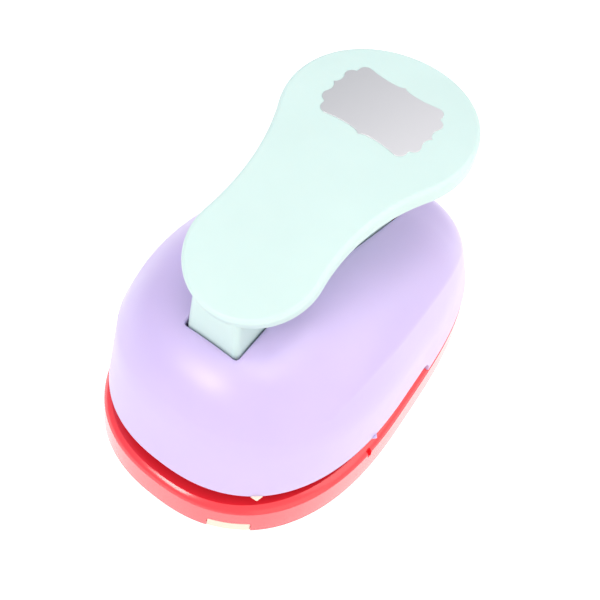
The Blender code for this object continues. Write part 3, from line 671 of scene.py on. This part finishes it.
def stem_envelope():
    """What the stem is kept inside: slightly narrower towards the paddle, with round front corners."""
    rings, corner, rear_corner, rear = [], STEM_CORNER, 0.4, 59.6
    shape = ((STEM_HALF_WIDTH, 20.0), (STEM_HALF_WIDTH, 48.0), (STEM_TOP_HALF_WIDTH, 67.0), (5.4, 90.0))
    for half_width, z in shape:
        plan = arc((half_width - rear_corner, rear), rear_corner, 0, 90, 3)
        plan += arc((-half_width + rear_corner, rear), rear_corner, 90, 180, 3)
        plan += arc((-half_width + corner, STEM_FRONT + corner), corner, 180, 270, 10)
        plan += arc((half_width - corner, STEM_FRONT + corner), corner, 270, 360, 10)
        rings.append([(x, y, z) for x, y in plan])
    return solid(rings)


def build_lever(material):
    """The thumb plate, its stem with the pin's bore and the nose, and the hollow behind them."""
    lever = build_paddle(material)
    steps = (-40.0, -30.0, -20.0, -10.0, 0.0, 10.0, 20.0, 27.0)
    underside = [on_paddle(a, -thickness(a)) for a in steps]
    roof = [(y, z + 1.5) for y, z in underside if STEM_FRONT + 2.0 < y < STEM_REAR - 1.0]
    heel = arc((PIVOT_Y, PIVOT_Z), PIVOT_Y - STEM_FRONT, 180, 290, 16)
    toe = arc((NOSE_Y, NOSE_Z + NOSE_RADIUS), NOSE_RADIUS, 230, 340, 14)
    tail = [(3.0, 36.0), (STEM_REAR - 1.0, 40.2), (STEM_REAR, 41.2), (STEM_REAR, roof[-1][1] - 1.0)]
    front_top = (STEM_FRONT, underside[0][1] + 1.2)
    profile = heel + toe + tail + list(reversed(roof)) + [front_top]
    stem = new_object("stem", side_prism(profile, -20.0, 20.0))
    boolean(stem, stem_envelope(), "INTERSECT")
    apply_boolean(lever, stem, "UNION", 40.0)
    inner, hollow_front, hollow_rear, hollow_bottom = STEM_TOP_HALF_WIDTH - STEM_WALL, NOSE_Y + 4.5, 45.0, 30.0
    ceiling = [(y, z - 0.6) for y, z in (on_paddle(a, -thickness(a)) for a in (-8.0, 0.0, 10.0, 20.0))]
    pocket = [(hollow_front, hollow_bottom), (hollow_front, ceiling[0][1])] + ceiling[1:]
    pocket += [(hollow_rear, ceiling[-1][1]), (hollow_rear, hollow_bottom)]
    boolean(lever, combined(side_prism(pocket, -inner, inner), pin_bore()), "DIFFERENCE")
    settle(lever, 40.0)
    level_normals(lever)
    return lever


def build_label(material):
    """The silver plaque, which stands a little proud of the lever."""
    rings = []
    for grow, z in ((0.0, -0.5), (0.0, 0.09), (-0.08, 0.16)):
        outline = plaque_outline(LABEL_HALF_WIDTH + grow, LABEL_HALF_HEIGHT + grow, LABEL_CENTRE, LABEL_SIDE)
        rings.append([(x, y, z) for x, y in outline])
    bm = solid(rings)
    slice_along(bm, 1.0)
    bend(bm)
    return new_object("label_plate", bm, material, sharp=30.0)


# ---------------------------------------------------------------- springs and screws


def build_spring(name, node, material):
    """A wound compression spring between the guide plate and the carrier."""
    low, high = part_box(node)
    low, high = low / MM, high / MM
    centre = (low + high) / 2
    wire, turns, steps, sides = 0.42, 6.5, 26, 10
    radius = (high.x - low.x) / 2 - wire
    bottom, top = low.z + wire, high.z - wire
    closed = 2.06 * wire  # rise of the closed turn at each end
    count = int(turns * steps)
    bm = bmesh.new()
    loops = []
    for k in range(count + 1):
        share = k / count
        turn = TAU * turns * share
        wound = share * turns
        open_part = min(max((wound - 1.0) / (turns - 2.0), 0.0), 1.0)
        closed_part = min(wound, 1.0) + max(wound - turns + 1.0, 0.0)
        z = bottom + closed * closed_part + (top - bottom - 2 * closed) * open_part
        out = Vector((math.cos(turn), math.sin(turn), 0.0))
        middle = Vector((centre.x, centre.y, z)) + out * radius
        loop = []
        for j in range(sides):
            a = TAU * j / sides
            loop.append(bm.verts.new(middle + out * wire * math.cos(a) + Vector((0, 0, wire * math.sin(a)))))
        loops.append(loop)
    for near, far in zip(loops, loops[1:]):
        for j in range(sides):
            i = (j + 1) % sides
            bm.faces.new((near[j], near[i], far[i], far[j]))
    bm.faces.new(loops[0])
    bm.faces.new(loops[-1])
    spring = new_object(name, bm, material, sharp=60.0)
    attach(spring, "body")
    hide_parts(node)
    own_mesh(spring)
    return spring


# ---------------------------------------------------------------- materials


def nodes_of(name):
    material = bpy.data.materials.new(name)
    material.use_nodes = True
    tree = material.node_tree
    shader = tree.nodes["Principled BSDF"]
    return material, tree, shader


def node(tree, kind, **values):
    made = tree.nodes.new(kind)
    for key, value in values.items():
        if key in made.inputs:
            made.inputs[key].default_value = value
        else:
            setattr(made, key, value)
    return made


def ramp(tree, source, stops):
    made = tree.nodes.new("ShaderNodeValToRGB")
    elements = made.color_ramp.elements
    elements[0].position, elements[0].color = stops[0][0], (*stops[0][1], 1.0)
    elements[1].position, elements[1].color = stops[-1][0], (*stops[-1][1], 1.0)
    for position, colour in stops[1:-1]:
        element = elements.new(position)
        element.color = (*colour, 1.0)
    tree.links.new(source, made.inputs["Fac"])
    return made


def grey(value):
    return (value, value, value)


def plastic(name, colour, roughness, coat, grain, subsurface=0.0, variation=0.02, coat_roughness=0.14):
    """Moulded plastic: faint colour drift, fine texture from the mould, and slightly uneven gloss."""
    material, tree, shader = nodes_of(name)
    links = tree.links
    place = node(tree, "ShaderNodeTexCoord")
    drift = node(tree, "ShaderNodeTexNoise", Scale=38.0, Detail=3.0, Roughness=0.55)
    links.new(place.outputs["Object"], drift.inputs["Vector"])
    darker = tuple(c * (1 - variation) for c in colour)
    lighter = tuple(min(c * (1 + variation), 1.0) for c in colour)
    tint = ramp(tree, drift.outputs["Fac"], ((0.3, darker), (0.7, lighter)))
    links.new(tint.outputs["Color"], shader.inputs["Base Color"])
    smear = node(tree, "ShaderNodeTexNoise", Scale=160.0, Detail=4.0, Roughness=0.6)
    links.new(place.outputs["Object"], smear.inputs["Vector"])
    rough = ramp(tree, smear.outputs["Fac"], ((0.25, grey(roughness * 0.88)), (0.75, grey(roughness * 1.14))))
    links.new(rough.outputs["Color"], shader.inputs["Roughness"])
    fine = node(tree, "ShaderNodeTexNoise", Scale=2600.0, Detail=2.0, Roughness=0.5)
    links.new(place.outputs["Object"], fine.inputs["Vector"])
    waves = node(tree, "ShaderNodeTexNoise", Scale=55.0, Detail=2.0, Roughness=0.4)
    links.new(place.outputs["Object"], waves.inputs["Vector"])
    first = node(tree, "ShaderNodeBump", Strength=grain, Distance=0.00002)
    links.new(fine.outputs["Fac"], first.inputs["Height"])
    second = node(tree, "ShaderNodeBump", Strength=0.12, Distance=0.0003)
    links.new(waves.outputs["Fac"], second.inputs["Height"])
    links.new(first.outputs["Normal"], second.inputs["Normal"])
    links.new(second.outputs["Normal"], shader.inputs["Normal"])
    shader.inputs["IOR"].default_value = 1.49
    shader.inputs["Coat Weight"].default_value = coat
    shader.inputs["Coat Roughness"].default_value = coat_roughness
    if subsurface:
        shader.inputs["Subsurface Weight"].default_value = subsurface
        shader.inputs["Subsurface Radius"].default_value = (1.0, 0.7, 0.6)
        shader.inputs["Subsurface Scale"].default_value = 0.0015
    return material


def brushed(name, colour, roughness, scale, anisotropy=0.0):
    """Ground or drawn metal: fine parallel lines with slow changes of tone."""
    material, tree, shader = nodes_of(name)
    links = tree.links
    place = node(tree, "ShaderNodeTexCoord")
    stretch = node(tree, "ShaderNodeMapping")
    stretch.inputs["Scale"].default_value = scale
    links.new(place.outputs["Object"], stretch.inputs["Vector"])
    lines = node(tree, "ShaderNodeTexNoise", Scale=1.0, Detail=5.0, Roughness=0.65)
    links.new(stretch.outputs["Vector"], lines.inputs["Vector"])
    tone = ramp(tree, lines.outputs["Fac"], ((0.3, tuple(c * 0.86 for c in colour)), (0.7, colour)))
    links.new(tone.outputs["Color"], shader.inputs["Base Color"])
    rough = ramp(tree, lines.outputs["Fac"], ((0.25, grey(roughness * 0.75)), (0.75, grey(roughness * 1.3))))
    links.new(rough.outputs["Color"], shader.inputs["Roughness"])
    bump = node(tree, "ShaderNodeBump", Strength=0.12, Distance=0.00001)
    links.new(lines.outputs["Fac"], bump.inputs["Height"])
    links.new(bump.outputs["Normal"], shader.inputs["Normal"])
    shader.inputs["Metallic"].default_value = 1.0
    shader.inputs["Anisotropic"].default_value = anisotropy
    return material


def foil(name):
    """Matt silver label: very fine grain, and a painted reflection that makes it darker towards its left end.
    """
    material, tree, shader = nodes_of(name)
    links = tree.links
    place = node(tree, "ShaderNodeTexCoord")
    axes = node(tree, "ShaderNodeSeparateXYZ")
    links.new(place.outputs["Object"], axes.inputs["Vector"])
    # Painted reflection: the label's tone is mapped along x, darker at its left end and lighter at its right.
    across = node(tree, "ShaderNodeMapRange")
    across.inputs["From Min"].default_value = -0.016
    across.inputs["From Max"].default_value = 0.014
    links.new(axes.outputs["X"], across.inputs["Value"])
    grain = node(tree, "ShaderNodeTexNoise", Scale=3200.0, Detail=3.0, Roughness=0.6)
    links.new(place.outputs["Object"], grain.inputs["Vector"])
    grain_and_painted_reflection = node(tree, "ShaderNodeMath", operation="MULTIPLY_ADD")
    links.new(grain.outputs["Fac"], grain_and_painted_reflection.inputs[0])
    grain_and_painted_reflection.inputs[1].default_value = 0.16
    links.new(across.outputs["Result"], grain_and_painted_reflection.inputs[2])
    # The tone ramp adds the foil's real fine grain to the painted reflection.
    tone = ramp(tree, grain_and_painted_reflection.outputs["Value"], ((0.0, (0.53, 0.525, 0.54)), (1.0, (0.705, 0.685, 0.70))))
    links.new(tone.outputs["Color"], shader.inputs["Base Color"])
    rough = ramp(tree, grain.outputs["Fac"], ((0.3, grey(0.42)), (0.7, grey(0.55))))
    links.new(rough.outputs["Color"], shader.inputs["Roughness"])
    bump = node(tree, "ShaderNodeBump", Strength=0.1, Distance=0.00001)
    links.new(grain.outputs["Fac"], bump.inputs["Height"])
    links.new(bump.outputs["Normal"], shader.inputs["Normal"])
    shader.inputs["Metallic"].default_value = 0.55
    return material


lavender = plastic("lavender_moulding", (0.555, 0.443, 0.735), 0.36, 0.6, 0.25, 0.2, coat_roughness=0.32)
mint = plastic("mint_moulding", (0.57, 0.715, 0.683), 0.40, 0.08, 0.3, 0.2)
red = plastic("red_moulding", (0.94, 0.020, 0.034), 0.24, 1.0, 0.15, 0.0, 0.04, 0.16)
cream = plastic("cream_moulding", (0.80, 0.68, 0.56), 0.45, 0.0, 0.3, 0.2)
black = plastic("carrier_moulding", (0.028, 0.028, 0.032), 0.42, 0.0, 0.5)
silver = foil("silver_foil")
steel = brushed("ground_steel", (0.60, 0.60, 0.61), 0.28, (90.0, 5200.0, 900.0), 0.4)
zinc = brushed("zinc_plated_steel", (0.66, 0.67, 0.70), 0.24, (2200.0, 2200.0, 400.0))
spring_wire = brushed("spring_wire", (0.42, 0.42, 0.45), 0.26, (900.0, 900.0, 4200.0))


# ---------------------------------------------------------------- pieces on the frame

housing = build_housing(lavender)
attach(housing, "body")
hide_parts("housing")
piece = build_pointer("pointer_front", math.radians(-66.5), 1.0, 1.45, cream)
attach(piece, "body")
for label, degrees in (("right", -24.0), ("left", -156.0)):
    piece = build_pointer(f"pointer_{label}", math.radians(degrees), 0.7, 0.9, lavender)
    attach(piece, "body")
for label, side in (("left", -1), ("right", 1)):
    piece = build_cheek(f"pivot_cheek_{label}", side, lavender)
    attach(piece, "body")

base = build_base(red)
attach(base, "body")
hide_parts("base")

tray = build_tray(cream)
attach(tray, "body")
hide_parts("chip_tray")

lever = build_lever(mint)
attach(lever, "lever_arm")
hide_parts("lever")

plaque = build_label(silver)
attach(plaque, "lever_arm")
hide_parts("lever_label")

for corner_name in ("front_left", "front_right", "rear_left", "rear_right"):
    coil = build_spring(f"coil_{corner_name}", f"return_spring_{corner_name}", spring_wire)

for name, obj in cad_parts.items():
    if obj.hide_render:
        continue
    if name == "punch_carrier":
        finish = black
    elif "screw" in name or "clip" in name:
        finish = zinc
    else:
        finish = steel
    obj.data.materials.clear()
    obj.data.materials.append(finish)


# ---------------------------------------------------------------- floor, light and camera


def build_floor():
    bm = bmesh.new()
    size = 6000.0
    vertices = [bm.verts.new((x * size, y * size, 0.0)) for x, y in ((-1, -1), (1, -1), (1, 1), (-1, 1))]
    bm.faces.new(vertices)
    floor = new_object("floor", bm)
    material, tree, shader = nodes_of("pale_floor")
    place = node(tree, "ShaderNodeTexCoord")
    cloud = node(tree, "ShaderNodeTexNoise", Scale=4.0, Detail=2.0)
    tree.links.new(place.outputs["Object"], cloud.inputs["Vector"])
    tone = ramp(tree, cloud.outputs["Fac"], ((0.3, grey(0.54)), (0.7, grey(0.56))))
    tree.links.new(tone.outputs["Color"], shader.inputs["Base Color"])
    shader.inputs["Roughness"].default_value = 0.9
    shader.inputs["Emission Color"].default_value = (1.0, 1.0, 1.0, 1.0)
    shader.inputs["Emission Strength"].default_value = 0.72
    shader.inputs["Specular IOR Level"].default_value = 0.0
    floor.data.materials.append(material)
    return floor


def area_light(name, place, target, size, power, colour):
    light = bpy.data.lights.new(name, "AREA")
    light.shape = "RECTANGLE"
    light.size, light.size_y = size
    light.energy = power
    light.color = colour
    obj = bpy.data.objects.new(name, light)
    obj.location = Vector(place)
    obj.rotation_mode = "QUATERNION"
    obj.rotation_quaternion = (Vector(target) - obj.location).to_track_quat("-Z", "Y")
    bpy.context.scene.collection.objects.link(obj)
    return obj


def build_world():
    """Soft white surroundings, a little dimmer and cooler on the left."""
    world = bpy.data.worlds.new("studio")
    world.use_nodes = True
    tree = world.node_tree
    place = node(tree, "ShaderNodeTexCoord")
    axes = node(tree, "ShaderNodeSeparateXYZ")
    tree.links.new(place.outputs["Generated"], axes.inputs["Vector"])
    side = node(tree, "ShaderNodeMapRange")
    side.inputs["From Min"].default_value = -1.0
    side.inputs["From Max"].default_value = 1.0
    tree.links.new(axes.outputs["X"], side.inputs["Value"])
    tone = ramp(tree, side.outputs["Result"], ((0.0, (0.49, 0.55, 0.65)), (1.0, (1.04, 1.03, 0.99))))
    backdrop = tree.nodes["Background"]
    tree.links.new(tone.outputs["Color"], backdrop.inputs["Color"])
    backdrop.inputs["Strength"].default_value = 1.0
    bpy.context.scene.world = world


build_floor()
build_world()
area_light("overhead", (0.12, -0.03, 0.85), (0.0, 0.0, 0.03), (0.42, 0.42), 1.6, (1.0, 0.99, 0.97))
area_light("glow", (-0.14, -0.42, 0.72), (0.0, 0.0, 0.03), (0.34, 0.34), 0.55, (1.0, 0.97, 0.93))
area_light("front", (-0.13, -0.62, 0.49), (0.0, -0.01, 0.03), (0.22, 0.22), 1.55, (1.0, 0.96, 0.90))
area_light("side", (1.0, -0.30, 0.30), (0.0, 0.0, 0.03), (1.0, 0.5), 0.7, (1.0, 0.97, 0.82))
area_light("rear", (0.56, 0.46, 0.60), (0.0, 0.0, 0.04), (0.9, 0.6), 1.7, (1.0, 0.99, 0.97))

scene = bpy.context.scene
scene.view_settings.view_transform = "Standard"
scene.view_settings.look = "None"
scene.view_settings.exposure = 0.0

# Camera at the photograph's angle
AZIMUTH, ELEVATION, ROLL = math.radians(29.29), math.radians(51.79), math.radians(10.30)
FOCAL_PIXELS, DISTANCE = 1157.0, 314.7
TARGET = Vector((-2.85, 3.36, 20.0))


def build_camera():
    back = Vector(
        (
            math.sin(AZIMUTH) * math.cos(ELEVATION),
            -math.cos(AZIMUTH) * math.cos(ELEVATION),
            math.sin(ELEVATION),
        )
    )
    right = Vector((math.cos(AZIMUTH), math.sin(AZIMUTH), 0.0))
    up = back.cross(right)
    rolled_right = right * math.cos(ROLL) + up * math.sin(ROLL)
    rolled_up = up * math.cos(ROLL) - right * math.sin(ROLL)
    data = bpy.data.cameras.new("camera")
    data.sensor_width = 36.0
    data.lens = FOCAL_PIXELS * 36.0 / 600.0
    data.clip_start, data.clip_end = 0.01, 10.0
    camera = bpy.data.objects.new("camera", data)
    axes = Matrix((rolled_right, rolled_up, back)).transposed()
    camera.matrix_world = Matrix.Translation((TARGET + back * DISTANCE) * MM) @ axes.to_4x4()
    scene.collection.objects.link(camera)
    scene.camera = camera


build_camera()
